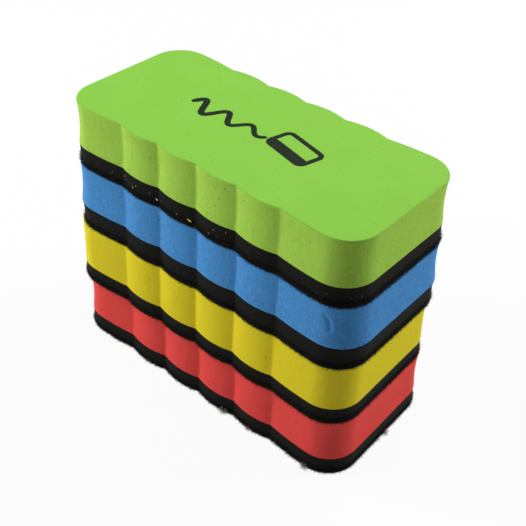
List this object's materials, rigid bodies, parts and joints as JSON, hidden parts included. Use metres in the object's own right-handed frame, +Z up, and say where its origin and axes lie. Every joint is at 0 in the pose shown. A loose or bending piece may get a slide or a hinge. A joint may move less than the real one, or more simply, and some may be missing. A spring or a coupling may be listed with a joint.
{
  "type": "board eraser stack",
  "caption": "Stacked foam board erasers with scalloped grips in green, blue, yellow and red, each with a black foam backing and a felt pad for wiping chalk or marker off a board.",
  "frame": {"origin": "centre of the wiping face of the bottom eraser, which is the face that the stack stands on", "axes": "+Z up through the stack, +X along the length of the bottom eraser, +Y across it"},
  "size_m": [0.1107, 0.052, 0.088],
  "materials": {
    "red_foam": "matte closed-cell EVA foam, red",
    "yellow_foam": "matte closed-cell EVA foam, yellow",
    "blue_foam": "matte closed-cell EVA foam, blue",
    "green_foam": "matte closed-cell EVA foam, light green",
    "black_foam": "matte closed-cell EVA foam, black",
    "black_felt": "needled felt, black, with loose fibres at the cut edge",
    "ferrite": "sintered ferrite, dull grey-black",
    "glue": "dried contact glue, smoky brown"
  },
  "bodies": {
    "red_eraser": {"red_felt_pad": "black_felt", "red_felt_glue": "glue", "red_backing_sheet": "black_foam", "red_magnet_left": "ferrite", "red_magnet_right": "ferrite", "red_grip_glue": "glue", "red_foam_grip": "red_foam"},
    "yellow_eraser": {"yellow_felt_pad": "black_felt", "yellow_felt_glue": "glue", "yellow_backing_sheet": "black_foam", "yellow_magnet_left": "ferrite", "yellow_magnet_right": "ferrite", "yellow_grip_glue": "glue", "yellow_foam_grip": "yellow_foam"},
    "blue_eraser": {"blue_felt_pad": "black_felt", "blue_felt_glue": "glue", "blue_backing_sheet": "black_foam", "blue_magnet_left": "ferrite", "blue_magnet_right": "ferrite", "blue_grip_glue": "glue", "blue_foam_grip": "blue_foam"},
    "green_eraser": {"green_felt_pad": "black_felt", "green_felt_glue": "glue", "green_backing_sheet": "black_foam", "green_magnet_left": "ferrite", "green_magnet_right": "ferrite", "green_grip_glue": "glue", "green_foam_grip": "green_foam"}
  },
  "joints": [
    {"name": "yellow_lift", "type": "slide", "parent": "red_eraser", "child": "yellow_eraser", "axis": [0, 0, 1], "range_m": [0, 0.06]},
    {"name": "blue_lift", "type": "slide", "parent": "yellow_eraser", "child": "blue_eraser", "axis": [0, 0, 1], "range_m": [0, 0.06]},
    {"name": "green_lift", "type": "slide", "parent": "blue_eraser", "child": "green_eraser", "axis": [0, 0, 1], "range_m": [0, 0.06]}
  ]
}
